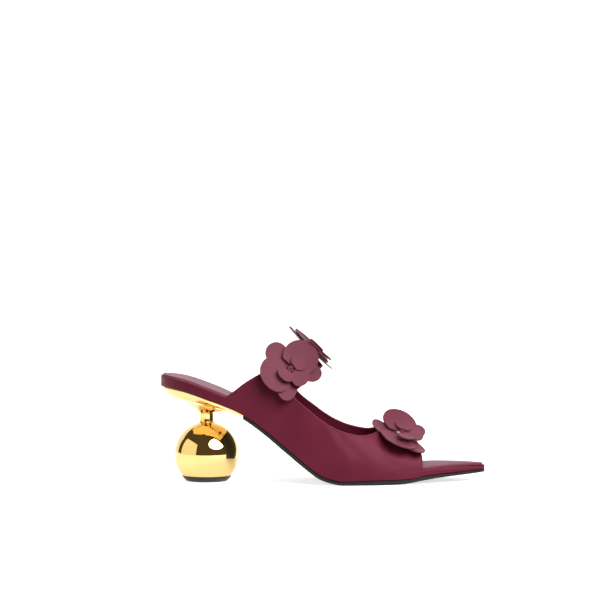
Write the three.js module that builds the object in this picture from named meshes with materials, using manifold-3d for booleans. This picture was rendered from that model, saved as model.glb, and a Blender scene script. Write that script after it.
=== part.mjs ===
// Slip-on mule with an open toe, an instep strap, a ball heel and three leather flowers.
// Right shoe, in millimetres: +X points to the toe, +Y to the inner side of the foot, +Z up.
// The origin is the middle of the heel tip's flat underside, on the floor.

import * as THREE from 'three';
import { mergeVertices } from 'three/addons/utils/BufferGeometryUtils.js';
import Module from 'manifold-3d';

const wasm = await Module();
wasm.setup();

// Sole and last
const length = 239.3;
const heelBack = 33.7; // from the heel's axis to the back of the seat
const seatWidth = 54;
const ballWidth = 76.6;
const toeSpring = 6.5;
const outsoleThickness = 2.8;
const outsoleLip = 1.2; // how far the outsole stands out past the footbed
const heelRand = 8.2;
const toeRand = 5;
const toeCrown = 1.5;
const sockThickness = 1;
const sockInset = 1.8;
const gap = 0.3;
const liningGap = 0.4; // between the footbed's side and the upper

// Upper
const instepRise = 86; // top of the strap above the sole under it
const upperWall = 1.6;
const strapSkew = 0.17; // the strap's back edge runs this share of the way across forwards
const throatSkew = 0.055;

// Heel
const tipHeight = 4;
const tipRadius = 18.2;
const tipChamfer = 3.9;
const ballDiameter = 48;
const ballLedge = 0.2; // the ball's flat is this much wider than the tip
const neckRadius = 5.1;
const neckLength = 6.9;
const neckFlare = 1.6;
const cupDepth = 8.8;
const flange = 2.8;
const flangeInset = 2.2; // from the edge of the footbed
const breast = 26.8; // front edge of the flange, ahead of the axis

// Flowers
const petalThickness = 0.9;
const flowerRadius = 24;
const budRadius = 2.5;
const budHeight = 5.8;

// Plan of the footbed: half widths as shares of the seat's and the ball's width,
// and the sideways shift of its middle as a share of the ball's width
const plan = [
  { along: 0, seat: 0, ball: 0, shift: 0 },
  { along: 0.024, seat: 0.52, ball: 0, shift: 0 },
  { along: 0.057, seat: 0.78, ball: 0, shift: 0 },
  { along: 0.107, seat: 0.945, ball: 0, shift: 0 },
  { along: 0.149, seat: 1, ball: 0, shift: 0 },
  { along: 0.25, seat: 0.955, ball: 0, shift: -0.016 },
  { along: 0.308, seat: 0.83, ball: 0.083, shift: -0.026 },
  { along: 0.379, seat: 0.5, ball: 0.355, shift: -0.035 },
  { along: 0.454, seat: 0.2, ball: 0.68, shift: -0.033 },
  { along: 0.525, seat: 0, ball: 0.948, shift: -0.016 },
  { along: 0.584, seat: 0, ball: 1, shift: 0.004 },
  { along: 0.642, seat: 0, ball: 0.992, shift: 0.02 },
  { along: 0.705, seat: 0, ball: 0.927, shift: 0.033 },
  { along: 0.768, seat: 0, ball: 0.822, shift: 0.043 },
  { along: 0.809, seat: 0, ball: 0.726, shift: 0.047 },
  { along: 0.872, seat: 0, ball: 0.535, shift: 0.052 },
  { along: 0.935, seat: 0, ball: 0.321, shift: 0.052 },
  { along: 0.977, seat: 0, ball: 0.16, shift: 0.052 },
  { along: 1, seat: 0, ball: 0, shift: 0.052 },
];

// Side of the sole: its underside as shares of the heel's rise and of the toe spring,
// its thickness as a share of the outsole's, and how much of the rand's height is left
const side = [
  { along: 0, climb: 1, spring: 0, thick: 0.82, rand: 1 },
  { along: 0.064, climb: 0.962, spring: 0, thick: 0.82, rand: 1 },
  { along: 0.147, climb: 0.867, spring: 0, thick: 0.82, rand: 1 },
  { along: 0.213, climb: 0.78, spring: 0, thick: 0.82, rand: 1 },
  { along: 0.249, climb: 0.716, spring: 0, thick: 0.85, rand: 1 },
  { along: 0.305, climb: 0.579, spring: 0, thick: 0.95, rand: 1 },
  { along: 0.379, climb: 0.363, spring: 0, thick: 1, rand: 1 },
  { along: 0.453, climb: 0.151, spring: 0, thick: 1, rand: 1 },
  { along: 0.49, climb: 0.063, spring: 0, thick: 1, rand: 1 },
  { along: 0.527, climb: 0.019, spring: 0, thick: 1, rand: 1 },
  { along: 0.562, climb: 0, spring: 0, thick: 1, rand: 1 },
  { along: 0.66, climb: 0, spring: 0, thick: 1.25, rand: 1 },
  { along: 0.725, climb: 0, spring: 0, thick: 1.25, rand: 1 },
  { along: 0.768, climb: 0, spring: 0.14, thick: 1.1, rand: 1 },
  { along: 0.803, climb: 0, spring: 0.35, thick: 0.93, rand: 1 },
  { along: 0.858, climb: 0, spring: 0.6, thick: 0.8, rand: 0.93 },
  { along: 0.92, climb: 0, spring: 0.77, thick: 0.72, rand: 0.78 },
  { along: 0.955, climb: 0, spring: 0.86, thick: 0.68, rand: 0.64 },
  { along: 0.985, climb: 0, spring: 0.95, thick: 0.65, rand: 0.44 },
  { along: 1, climb: 0, spring: 1, thick: 0.64, rand: 0.3 },
];

// Sections of the upper: its crest above the sole as a share of the instep's rise,
// and how square its arch is, where 2 is a half ellipse
const sections = [
  { along: 0.17, rise: 1.25, square: 1.7 },
  { along: 0.308, rise: 1.18, square: 1.62 },
  { along: 0.39, rise: 1.08, square: 1.62 },
  { along: 0.446, rise: 1, square: 1.68 },
  { along: 0.492, rise: 0.935, square: 1.75 },
  { along: 0.559, rise: 0.775, square: 1.9 },
  { along: 0.621, rise: 0.6, square: 2.05 },
  { along: 0.697, rise: 0.425, square: 2.15 },
  { along: 0.764, rise: 0.328, square: 2.2 },
  { along: 0.801, rise: 0.295, square: 2.2 },
  { along: 0.85, rise: 0.26, square: 2.2 },
];

// Edges of the upper seen from the side, by their height above the sole as a share of the
// instep's rise. Each one starts and ends just clear of the shell.
const rearEdge = [
  { along: 0.178, up: -0.1 },
  { along: 0.18, up: 0 },
  { along: 0.228, up: 0.158 },
  { along: 0.268, up: 0.303 },
  { along: 0.305, up: 0.435 },
  { along: 0.375, up: 0.7 },
  { along: 0.446, up: 1 },
  { along: 0.492, up: 1.18 },
];
const throatEdge = [
  { along: 0.538, up: 1.067 },
  { along: 0.492, up: 0.905 },
  { along: 0.446, up: 0.7 },
  { along: 0.408, up: 0.53 },
  { along: 0.404, up: 0.486 },
  { along: 0.424, up: 0.472 },
  { along: 0.4555, up: 0.4715 },
  { along: 0.4752, up: 0.468 },
  { along: 0.4936, up: 0.461 },
  { along: 0.5135, up: 0.447 },
  { along: 0.5518, up: 0.417 },
  { along: 0.5978, up: 0.3815 },
  { along: 0.625, up: 0.369 },
  { along: 0.648, up: 0.376 },
  { along: 0.667, up: 0.39 },
  { along: 0.697, up: 0.425 },
  { along: 0.747, up: 0.54 },
];
const toeEdge = [
  { along: 0.801, up: -0.1 },
  { along: 0.802, up: 0.02 },
  { along: 0.803, up: 0.14 },
  { along: 0.799, up: 0.2 },
  { along: 0.785, up: 0.28 },
  { along: 0.764, up: 0.33 },
  { along: 0.73, up: 0.43 },
];

// Depth of the cup under the seat, from the neck out to its rim, as shares of its depth at the
// neck: behind the neck and in front of it
const cup = [
  { along: 0, back: 1, front: 1 },
  { along: 0.05, back: 0.93, front: 0.9 },
  { along: 0.14, back: 0.83, front: 0.77 },
  { along: 0.25, back: 0.745, front: 0.63 },
  { along: 0.4, back: 0.655, front: 0.47 },
  { along: 0.6, back: 0.56, front: 0.3 },
  { along: 0.78, back: 0.45, front: 0.25 },
  { along: 0.92, back: 0.24, front: 0.21 },
  { along: 1, back: 0.08, front: 0.2 },
];

// Petals of one flower: the way each points in degrees, its reach and half width as shares
// of the flower's radius, its width at the root as a share of its widest, where along it is
// widest, the layer it lies in and how far it lifts at the flower's radius
const petals = [
  { name: 'outer_back', angle: 130, reach: 1, half: 0.36, root: 0.3, widest: 0.62, layer: 0, lift: 2 },
  { name: 'outer_low', angle: 262, reach: 1.02, half: 0.33, root: 0.3, widest: 0.42, layer: 0, lift: 1.4 },
  { name: 'outer_front', angle: 356, reach: 1, half: 0.28, root: 0.5, widest: 0.65, layer: 0, lift: 1.4 },
  { name: 'outer_rear', angle: 204, reach: 0.98, half: 0.58, root: 0.63, widest: 0.44, layer: 1, lift: 2 },
  { name: 'outer_top', angle: 51, reach: 1.05, half: 0.56, root: 0.72, widest: 0.41, layer: 2, lift: 2.2 },
  { name: 'inner_front', angle: 320, reach: 0.66, half: 0.32, root: 0.5, widest: 0.6, layer: 3, lift: 3 },
  { name: 'inner_top', angle: 38, reach: 0.5, half: 0.26, root: 0.5, widest: 0.55, layer: 4, lift: 3 },
  { name: 'inner_rear', angle: 234, reach: 0.47, half: 0.27, root: 0.5, widest: 0.5, layer: 4, lift: 3 },
];

// Flowers: seat on the upper, by the share along and the angle up from the outer feather edge,
// how the flower leans from the upper's own facing, how far the hollow of the instep under it
// pushes its petals up, in millimetres, and where its right-hand side points
const flowers = [
  {
    name: 'side_flower', along: 0.396, around: 43.5, push: 0,
    lean: [0.05, 0, 0.12], right: [1, 0, 0],
  },
  {
    name: 'strap_flower', along: 0.459, around: 102, push: 0,
    lean: [-0.05, -0.31, 0.05], right: [0.57, 0.57, -0.59],
  },
  {
    name: 'toe_flower', along: 0.737, around: 67.5, push: 2,
    lean: [-0.03, -0.13, 0], right: [0.6, 0.79, 0.11],
  },
];

// Smooth curve through one column of a table, without overshoot
function through(rows, name, place = (along) => along) {
  const x = rows.map((row) => place(row.along));
  const y = rows.map((row) => row[name]);
  const last = x.length - 1;
  const steps = x.slice(1).map((value, i) => (y[i + 1] - y[i]) / (value - x[i]));
  const slopes = x.map((_, i) => {
    if (i === 0) return steps[0];
    if (i === last) return steps[last - 1];
    const turns = steps[i - 1] * steps[i] <= 0;
    return turns ? 0 : (2 * steps[i - 1] * steps[i]) / (steps[i - 1] + steps[i]);
  });
  return (along) => {
    const at = THREE.MathUtils.clamp(place(along), x[0], x[last]);
    let i = 0;
    while (i < last - 1 && at > x[i + 1]) i += 1;
    const span = x[i + 1] - x[i];
    const t = (at - x[i]) / span;
    const rising = t * t * (3 - 2 * t);
    const leaving = t * (1 - t) * (1 - t) * span;
    const arriving = t * t * (t - 1) * span;
    return y[i] * (1 - rising) + y[i + 1] * rising + slopes[i] * leaving + slopes[i + 1] * arriving;
  };
}

// The plan is read by the angle of a half turn from heel to toe, which rounds both its ends
const roundEnds = (along) => Math.acos(1 - 2 * along);
const seatShare = through(plan, 'seat', roundEnds);
const ballShare = through(plan, 'ball', roundEnds);
const shiftShare = through(plan, 'shift');
const climb = through(side, 'climb');
const spring = through(side, 'spring');
const thick = through(side, 'thick');
const randShare = through(side, 'rand');
const rise = through(sections, 'rise');
const square = through(sections, 'square');
const cupBack = through(cup, 'back');
const cupFront = through(cup, 'front');

const xAt = (along) => along * length - heelBack;
const alongAt = (x) => (x + heelBack) / length;
const halfWidth = (along) => (seatShare(along) * seatWidth + ballShare(along) * ballWidth) / 2;
const middle = (along) => shiftShare(along) * ballWidth;

// Heights down the heel set how high the seat stands, and so the climb of the whole sole
const ballRadius = ballDiameter / 2;
const ballFlat = tipRadius + ballLedge;
const ballCentre = tipHeight + gap + Math.sqrt(ballRadius ** 2 - ballFlat ** 2);
const neckFoot = ballCentre + Math.sqrt(ballRadius ** 2 - neckRadius ** 2);
const neckTop = neckFoot + neckLength;
const seatAtAxis = neckTop + cupDepth + flange;
const axisAlong = alongAt(0);
const heelRise = (seatAtAxis - outsoleThickness * thick(axisAlong)) / climb(axisAlong);

const underside = (along) => heelRise * climb(along) + toeSpring * spring(along);
const slopeOf = (line, along, step = 0.004) => {
  const fore = Math.min(1, along + step);
  const aft = Math.max(0, along - step);
  return (line(fore) - line(aft)) / ((fore - aft) * length);
};
const seatLine = (along) => {
  const upright = Math.hypot(1, slopeOf(underside, along));
  return underside(along) + outsoleThickness * thick(along) * upright;
};
const bedLine = (along) => seatLine(along) + gap;
const randHeight = (along) => {
  const fade = THREE.MathUtils.smoothstep(along, 0.1, 0.42);
  return (heelRand + (toeRand - heelRand) * fade) * randShare(along);
};
const crown = (along) => toeCrown * THREE.MathUtils.smoothstep(along, 0.3, 0.7);
const bedTop = (along) => bedLine(along) + randHeight(along);

// One closed mesh from points and triangles, with its faces turned outwards
function closedGeometry(points, triangles) {
  const volume = triangles.reduce((sum, [a, b, c]) => {
    const cross = new THREE.Vector3().crossVectors(points[b], points[c]);
    return sum + points[a].dot(cross);
  }, 0);
  const outward = volume < 0 ? triangles.map(([a, b, c]) => [a, c, b]) : triangles;
  const geometry = new THREE.BufferGeometry().setFromPoints(points);
  geometry.setIndex(outward.flat());
  geometry.computeVertexNormals();
  return geometry;
}

// A body skinned over closed rings of equal count, with a fan over each end
function loft(rings) {
  const count = rings[0].length;
  const points = rings.flat();
  const triangles = [];
  for (let ring = 0; ring < rings.length - 1; ring++) {
    for (let i = 0; i < count; i++) {
      const next = (i + 1) % count;
      const a = ring * count + i;
      const b = ring * count + next;
      triangles.push([a, b, b + count], [a, b + count, a + count]);
    }
  }
  [0, rings.length - 1].forEach((ring) => {
    const centre = new THREE.Vector3();
    rings[ring].forEach((point) => centre.addScaledVector(point, 1 / count));
    const hub = points.push(centre) - 1;
    for (let i = 0; i < count; i++) {
      const a = ring * count + i;
      const b = ring * count + ((i + 1) % count);
      triangles.push(ring === 0 ? [hub, b, a] : [hub, a, b]);
    }
  });
  return closedGeometry(points, triangles);
}

// A sheet between two grids of points, closed round its four edges
function sheet(front, back) {
  const rows = front.length;
  const columns = front[0].length;
  const points = [...front.flat(), ...back.flat()];
  const triangles = [];
  const quad = (a, b, c, d) => triangles.push([a, b, c], [a, c, d]);
  const on = (i, j) => i * columns + j;
  const off = (i, j) => rows * columns + i * columns + j;
  for (let i = 0; i < rows - 1; i++) {
    for (let j = 0; j < columns - 1; j++) {
      quad(on(i, j), on(i + 1, j), on(i + 1, j + 1), on(i, j + 1));
      quad(off(i, j), off(i, j + 1), off(i + 1, j + 1), off(i + 1, j));
    }
    quad(on(i, 0), off(i, 0), off(i + 1, 0), on(i + 1, 0));
    quad(on(i, columns - 1), on(i + 1, columns - 1), off(i + 1, columns - 1), off(i, columns - 1));
  }
  for (let j = 0; j < columns - 1; j++) {
    quad(on(0, j), on(0, j + 1), off(0, j + 1), off(0, j));
    quad(on(rows - 1, j), off(rows - 1, j), off(rows - 1, j + 1), on(rows - 1, j + 1));
  }
  return closedGeometry(points, triangles);
}

// Cutting with manifold-3d
function toSolid(geometry) {
  const bare = geometry.clone();
  bare.deleteAttribute('normal');
  bare.deleteAttribute('uv');
  const merged = mergeVertices(bare, 1e-4);
  return new wasm.Manifold(new wasm.Mesh({
    numProp: 3,
    vertProperties: new Float32Array(merged.attributes.position.array),
    triVerts: new Uint32Array(merged.index.array),
  }));
}

function toGeometry(solid) {
  const mesh = solid.getMesh();
  const geometry = new THREE.BufferGeometry();
  geometry.setAttribute('position', new THREE.BufferAttribute(mesh.vertProperties, 3));
  geometry.setIndex(new THREE.BufferAttribute(mesh.triVerts, 1));
  geometry.computeVertexNormals();
  return geometry;
}

// Stations from heel to toe, closer together towards both rounded ends. All the long pieces
// share them, so that their facets run parallel.
const endStations = [0.001, 0.005, 0.012, 0.023, 0.038];
const middleSteps = 34;
const allStations = [
  ...endStations,
  ...Array.from({ length: middleSteps + 1 }, (_, i) => 0.055 + (0.89 * i) / middleSteps),
  ...endStations.map((along) => 1 - along).reverse(),
];

function stations(from = 0, to = 1) {
  const apart = 0.003;
  const between = allStations.filter((along) => along > from + apart && along < to - apart);
  return [...(from > 0 ? [from] : allStations.slice(0, 1)), ...between,
    ...(to < 1 ? [to] : allStations.slice(-1))];
}

// One ring across the shoe from shares of the half width and heights
function ring(along, half, outline) {
  return outline.map(({ across, z }) => new THREE.Vector3(xAt(along), middle(along) + across * half, z));
}

// Outline of a flat-bottomed section with rounded shoulders and a crowned top
function slabOutline(half, bottom, top, shoulder, foot, crownHeight) {
  const cut = Math.min(shoulder / half, 0.45);
  const footCut = Math.min(foot / half, 0.2);
  const round = Math.min(shoulder, (top - bottom) * 0.6);
  const footRound = Math.min(foot, (top - bottom) * 0.3);
  const topRow = [-1, -0.5, 0, 0.5, 1].map((share) => ({
    across: share * (1 - cut),
    z: top + crownHeight * (1 - share * share),
  }));
  return [
    { across: 1 - footCut, z: bottom },
    { across: 1, z: bottom + footRound },
    { across: 1, z: top - round },
    { across: 1 - cut * 0.3, z: top - round * 0.3 },
    ...topRow.reverse(),
    { across: -1 + cut * 0.3, z: top - round * 0.3 },
    { across: -1, z: top - round },
    { across: -1, z: bottom + footRound },
    { across: -1 + footCut, z: bottom },
  ];
}

function outsoleGeometry() {
  const start = alongAt(breast + gap);
  return loft(stations(start).map((along) => {
    const half = halfWidth(along) + outsoleLip;
    return ring(along, half, slabOutline(half, underside(along), seatLine(along), 0.4, 0.5, 0));
  }));
}

function footbedGeometry() {
  const shoulder = 1.5;
  return loft(stations().map((along) => {
    const half = halfWidth(along);
    const foot = 2 - 1.5 * THREE.MathUtils.smoothstep(along, 0.2, 0.35);
    const outline = slabOutline(half, bedLine(along), bedTop(along), shoulder, foot, crown(along));
    return ring(along, half, outline);
  }));
}

function sockGeometry() {
  const first = sockInset / length;
  const shares = [-1, -0.5, 0, 0.5, 1];
  return loft(stations(first, 1 - first).map((along) => {
    const half = Math.max(0.5, halfWidth(along) - sockInset);
    const reach = half / halfWidth(along);
    const lower = shares.map((share) => ({
      across: share,
      z: bedTop(along) + crown(along) * (1 - (share * reach) ** 2) + gap,
    }));
    const upper = lower.map(({ across, z }) => ({ across, z: z + sockThickness })).reverse();
    return ring(along, half, [...lower, ...upper]);
  }));
}

// Outer face of the upper at a share along the shoe and an angle round its arch, where 0 is
// the outer feather edge and 180 the inner one. Past those it runs straight down as a skirt.
const skirtDepth = 8;
function lastPoint(along, around) {
  const half = halfWidth(along) + liningGap + upperWall;
  const turn = THREE.MathUtils.degToRad(THREE.MathUtils.clamp(around, 0, 180));
  const power = 2 / square(along);
  const beside = -Math.sign(Math.cos(turn)) * Math.abs(Math.cos(turn)) ** power;
  const above = Math.sin(turn) ** power;
  const past = Math.max(0, -around, around - 180);
  const z = bedLine(along) + above * rise(along) * instepRise - past;
  return new THREE.Vector3(xAt(along), middle(along) + beside * half, z);
}

function lastNormal(along, around) {
  const small = 0.002;
  const inside = THREE.MathUtils.clamp(around, -skirtDepth + 0.2, 180 + skirtDepth - 0.2);
  const forward = lastPoint(along + small, inside).sub(lastPoint(along - small, inside));
  const over = lastPoint(along, inside + 0.2).sub(lastPoint(along, inside - 0.2));
  return forward.cross(over).normalize();
}

// Solid seen as an outline from the outer side, right through the shoe. It runs forwards
// by the skew for each millimetre across.
function sideCutter(outline, skew = 0) {
  const shape = new THREE.Shape(outline.map(([x, z]) => new THREE.Vector2(x, z)));
  const cut = new THREE.ExtrudeGeometry(shape, { depth: 3 * ballWidth, bevelEnabled: false });
  cut.rotateX(Math.PI / 2);
  cut.translate(0, 1.5 * ballWidth, 0);
  cut.applyMatrix4(new THREE.Matrix4().makeShear(0, 0, skew, 0, 0, 0));
  cut.translate((skew * seatWidth) / 2, 0, 0);
  return toSolid(cut);
}

function edgeLine(rows, points) {
  const curve = new THREE.SplineCurve(rows.map((row) => new THREE.Vector2(row.along, row.up)));
  return curve.getPoints(points).map(({ x, y }) => [xAt(x), bedLine(x) + y * instepRise]);
}

function upperGeometry() {
  const around = [-skirtDepth, 0, 5];
  for (let angle = 13; angle < 90; angle += 11) around.push(angle);
  const full = [...around, 90, ...around.map((angle) => 180 - angle).reverse()];
  const start = rearEdge[0].along - 0.03;
  const end = toeEdge[2].along + 0.03;
  const rows = stations(start, end);
  const outer = rows.map((along) => full.map((angle) => lastPoint(along, angle)));
  const inner = rows.map((along, i) => full.map((angle, j) => {
    return outer[i][j].clone().addScaledVector(lastNormal(along, angle), -upperWall);
  }));
  const high = 3 * instepRise;
  const front = length;
  const low = -instepRise;
  const rear = edgeLine(rearEdge, 24);
  const throat = edgeLine(throatEdge, 44);
  const toe = edgeLine(toeEdge, 20);
  const topOf = (line) => [line.at(-1)[0], high];
  const under = rows.map((along) => [xAt(along), bedLine(along)]);
  return toGeometry(
    toSolid(sheet(outer, inner))
      .subtract(sideCutter(
        [...rear, topOf(rear), [-length, high], [-length, low], [rear[0][0], low]],
        strapSkew,
      ))
      .subtract(sideCutter([...throat, topOf(throat), [throat[0][0], high]], throatSkew))
      .subtract(sideCutter([...toe, topOf(toe), [front, high], [front, low], [toe[0][0], low]]))
      .subtract(sideCutter([[-length, low], [front, low], [front, under.at(-1)[1]], ...under.reverse(),
        [-length, under.at(-1)[1]]])),
  );
}

// Edge of the flange: round the back of the seat, then straight across the breast
function flangeEdge() {
  const front = alongAt(breast);
  const back = stations(flangeInset / length, front).reverse();
  const point = (along, side) => {
    const half = Math.max(0.5, halfWidth(along) - flangeInset);
    return new THREE.Vector2(xAt(along), middle(along) + side * half);
  };
  const outer = back.map((along) => point(along, -1));
  const inner = back.map((along) => point(along, 1)).reverse();
  const across = [0.8, 0.6, 0.4, 0.2, 0, -0.2, -0.4, -0.6, -0.8];
  const breastRow = across.map((share) => point(front, share));
  return [...outer, ...inner, ...breastRow];
}

function heelGeometry() {
  const edge = flangeEdge();
  const angles = edge.map((point) => point.angle());
  const circle = (radius, z) => angles.map((angle) => {
    return new THREE.Vector3(radius * Math.cos(angle), radius * Math.sin(angle), z);
  });
  const steps = (count) => Array.from({ length: count + 1 }, (_, i) => i / count);

  const flatTilt = -Math.acos(ballFlat / ballRadius);
  const neckTilt = Math.acos((neckRadius + neckFlare) / ballRadius);
  const ball = steps(10).map((share) => {
    const tilt = flatTilt + (neckTilt - flatTilt) * share;
    return circle(ballRadius * Math.cos(tilt), ballCentre + ballRadius * Math.sin(tilt));
  });
  const neck = [
    circle(neckRadius + neckFlare * 0.25, neckFoot + neckFlare * 0.3),
    circle(neckRadius, neckFoot + neckFlare),
    circle(neckRadius, neckTop - 1),
  ];
  const under = cup.map(({ along: share }) => edge.map((point, i) => {
    const start = new THREE.Vector2(neckRadius * Math.cos(angles[i]), neckRadius * Math.sin(angles[i]));
    const place = start.clone().lerp(point, share);
    const depth = seatLine(alongAt(start.x)) - neckTop;
    const ahead = (1 + Math.cos(angles[i])) / 2;
    const fall = cupBack(share) * (1 - ahead) + cupFront(share) * ahead;
    return new THREE.Vector3(place.x, place.y, seatLine(alongAt(place.x)) - depth * fall);
  }));
  const top = [1, 0.66, 0.33, 0.08].map((share) => edge.map((point) => {
    const place = point.clone().multiplyScalar(share);
    return new THREE.Vector3(place.x, place.y, seatLine(alongAt(place.x)));
  }));
  return loft([...ball, ...neck, ...under, ...top]);
}

function tipGeometry() {
  const profile = [
    [0, 0],
    [tipRadius - tipChamfer, 0],
    [tipRadius - tipChamfer * 0.35, tipHeight * 0.45],
    [tipRadius, tipHeight * 0.85],
    [tipRadius, tipHeight],
    [0, tipHeight],
  ].map(([radius, z]) => new THREE.Vector2(radius, z));
  return new THREE.LatheGeometry(profile, 36).rotateX(Math.PI / 2);
}

// One petal as a thin cupped sheet in the flower's own frame, facing +Z, its root by the bud
function petalGeometry({ angle, reach, half, root, widest, layer, lift }, push) {
  const inner = budRadius + gap;
  const outer = reach * flowerRadius;
  const level = layer * (petalThickness + gap);
  const lengthwise = [0, 0.15, 0.35, 0.6, 0.8, 0.93, 0.985];
  const across = [-1, -0.5, 0, 0.5, 1];
  const turn = THREE.MathUtils.degToRad(angle);
  const breadth = (share) => {
    const narrowing = share < widest
      ? (1 - root ** 2) * ((widest - share) / widest) ** 2
      : ((share - widest) / (1 - widest)) ** 2;
    return half * flowerRadius * Math.sqrt(1 - narrowing);
  };
  const surface = (raise) => lengthwise.map((share) => {
    const out = inner + (outer - inner) * share;
    return across.map((side) => {
      const beside = side * breadth(share);
      const x = out * Math.cos(turn) - beside * Math.sin(turn);
      const y = out * Math.sin(turn) + beside * Math.cos(turn);
      const far = Math.hypot(x, y) / flowerRadius;
      return new THREE.Vector3(x, y, level + (lift + push) * far ** 2 + raise);
    });
  });
  return sheet(surface(petalThickness), surface(0));
}

// Rolled bud: a short drum with a rounded rim and a dimple
function budGeometry() {
  const profile = [
    [0, 0],
    [budRadius * 0.9, 0],
    [budRadius, budHeight * 0.3],
    [budRadius, budHeight * 0.85],
    [budRadius * 0.75, budHeight],
    [budRadius * 0.4, budHeight * 0.96],
    [0, budHeight * 0.85],
  ].map(([radius, z]) => new THREE.Vector2(radius, z));
  return new THREE.LatheGeometry(profile, 10).rotateX(Math.PI / 2);
}

// Materials
const satin = new THREE.MeshStandardMaterial({ color: '#7b3047', roughness: 0.45, metalness: 0 });
const leather = new THREE.MeshStandardMaterial({ color: '#8a4358', roughness: 0.6, metalness: 0 });
const sock = new THREE.MeshStandardMaterial({ color: '#9a5c6e', roughness: 0.4, metalness: 0 });
const soleBlack = new THREE.MeshStandardMaterial({ color: '#1d1c1d', roughness: 0.25, metalness: 0 });
const gold = new THREE.MeshStandardMaterial({ color: '#d9a64a', roughness: 0.08, metalness: 1 });
const rubber = new THREE.MeshStandardMaterial({ color: '#292324', roughness: 0.6, metalness: 0 });

function piece(name, geometry, material) {
  const mesh = new THREE.Mesh(geometry, material);
  mesh.name = name;
  return mesh;
}

// A flower stands on the upper's outer face, turned so that its own right points as asked
function flower({ name, along, around, lean, push, right }) {
  const normal = lastNormal(along, around);
  const facing = normal.clone().add(new THREE.Vector3(...lean)).normalize();
  const tipped = new THREE.Vector3().crossVectors(normal, facing).length();
  const aim = new THREE.Vector3(...right);
  const across = aim.addScaledVector(facing, -aim.dot(facing)).normalize();
  const up = new THREE.Vector3().crossVectors(facing, across);
  const group = new THREE.Group();
  group.setRotationFromMatrix(new THREE.Matrix4().makeBasis(across, up, facing));
  group.position.copy(lastPoint(along, around)).addScaledVector(facing, gap + tipped * budRadius);
  petals.forEach((row) => group.add(piece(`${name}_${row.name}`, petalGeometry(row, push), leather)));
  group.add(piece(`${name}_bud`, budGeometry(), leather));
  return group;
}

const mule = new THREE.Group();
mule.add(piece('outsole', outsoleGeometry(), soleBlack));
mule.add(piece('footbed', footbedGeometry(), satin));
mule.add(piece('insole_sock', sockGeometry(), sock));
mule.add(piece('upper', upperGeometry(), satin));
mule.add(piece('ball_heel', heelGeometry(), gold));
mule.add(piece('heel_tip', tipGeometry(), rubber));
flowers.forEach((row) => mule.add(flower(row)));

export default mule;
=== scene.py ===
# Slip-on mule for the right foot, with a satin upper, a ball heel and three leather flowers.
# Lengths are millimetres in the shoe's own frame: +X to the toe, +Y to the inner side, +Z up.
import math

import bmesh
import bpy
from mathutils import Matrix, Vector


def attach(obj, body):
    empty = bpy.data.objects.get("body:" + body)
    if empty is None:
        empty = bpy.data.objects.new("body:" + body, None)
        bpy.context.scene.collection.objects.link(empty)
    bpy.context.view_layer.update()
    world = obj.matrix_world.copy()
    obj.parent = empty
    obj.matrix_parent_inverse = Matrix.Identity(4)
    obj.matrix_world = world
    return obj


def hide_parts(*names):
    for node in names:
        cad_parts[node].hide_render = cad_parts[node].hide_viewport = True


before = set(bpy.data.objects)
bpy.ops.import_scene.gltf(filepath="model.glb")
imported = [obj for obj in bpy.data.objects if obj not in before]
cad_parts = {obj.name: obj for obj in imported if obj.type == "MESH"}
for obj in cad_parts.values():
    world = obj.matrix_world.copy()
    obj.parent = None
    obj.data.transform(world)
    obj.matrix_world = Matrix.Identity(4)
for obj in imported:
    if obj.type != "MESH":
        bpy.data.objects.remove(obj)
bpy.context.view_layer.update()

MM = 0.001

# Sole and last
LENGTH = 239.3
HEEL_BACK = 33.7
SEAT_WIDTH = 54.0
BALL_WIDTH = 76.6
TOE_SPRING = 6.5
OUTSOLE = 2.8
OUTSOLE_LIP = 1.2
HEEL_RAND = 8.2
TOE_RAND = 5.0
TOE_CROWN = 1.5
SOCK = 1.0
SOCK_INSET = 1.8
GAP = 0.3
LINING_GAP = 0.4

# Upper
INSTEP_RISE = 86.0
WALL = 1.6
SKIRT = 8.0
STRAP_SKEW = 0.17
THROAT_SKEW = 0.055

# Heel
TIP_HEIGHT = 4.0
TIP_RADIUS = 18.2
TIP_CHAMFER = 3.9
BALL_RADIUS = 24.0
BALL_LEDGE = 0.2
NECK_RADIUS = 5.1
NECK_LENGTH = 6.9
NECK_FLARE = 1.6
CUP_DEPTH = 8.8
FLANGE = 2.8
FLANGE_INSET = 2.2
BREAST = 26.8

# Flowers
PETAL = 0.9
FLOWER_RADIUS = 24.0
BUD_RADIUS = 2.5
BUD_HEIGHT = 5.8

# Rounded edges: the sole's, the footbed's and the drop of the sock's edge to the footbed
SOLE_SHOULDER = 0.5
SOLE_FOOT = 0.6
BED_SHOULDER = 1.5
HEEL_FOOT = 2.0
TOE_FOOT = 0.5
SOCK_DROP = 1.1
SOCK_LIFT = 0.3

# Turned edges of the satin: how far the bead stands out of the wall, and the length of its steps
FOLD_SWELL = 0.16
FOLD_STEP = 0.7
FOLD_SIDES = 10

# Soft details: millimetres of shell for each degree around, the fading ends of a crease as
# shares of it, the waves of the petals, and the rolled strip of a bud
CREASE_ARC = 0.62
CREASE_BEFORE = 0.35
CREASE_WITHIN = 0.3
PETAL_WAVE = 0.35
PETAL_WAVE_COUNT = 2.3
PETAL_WAVE_START = 0.8
BUD_TURNS = 1.9
BUD_STRIP = 0.62
BUD_CORE = 0.75
BUD_FLARE = 0.05

# Fineness of the meshes
SHARP_ANGLE = 35
PETAL_ROWS = 28
PETAL_COLUMNS = 25
BUD_ROWS = 46

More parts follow.
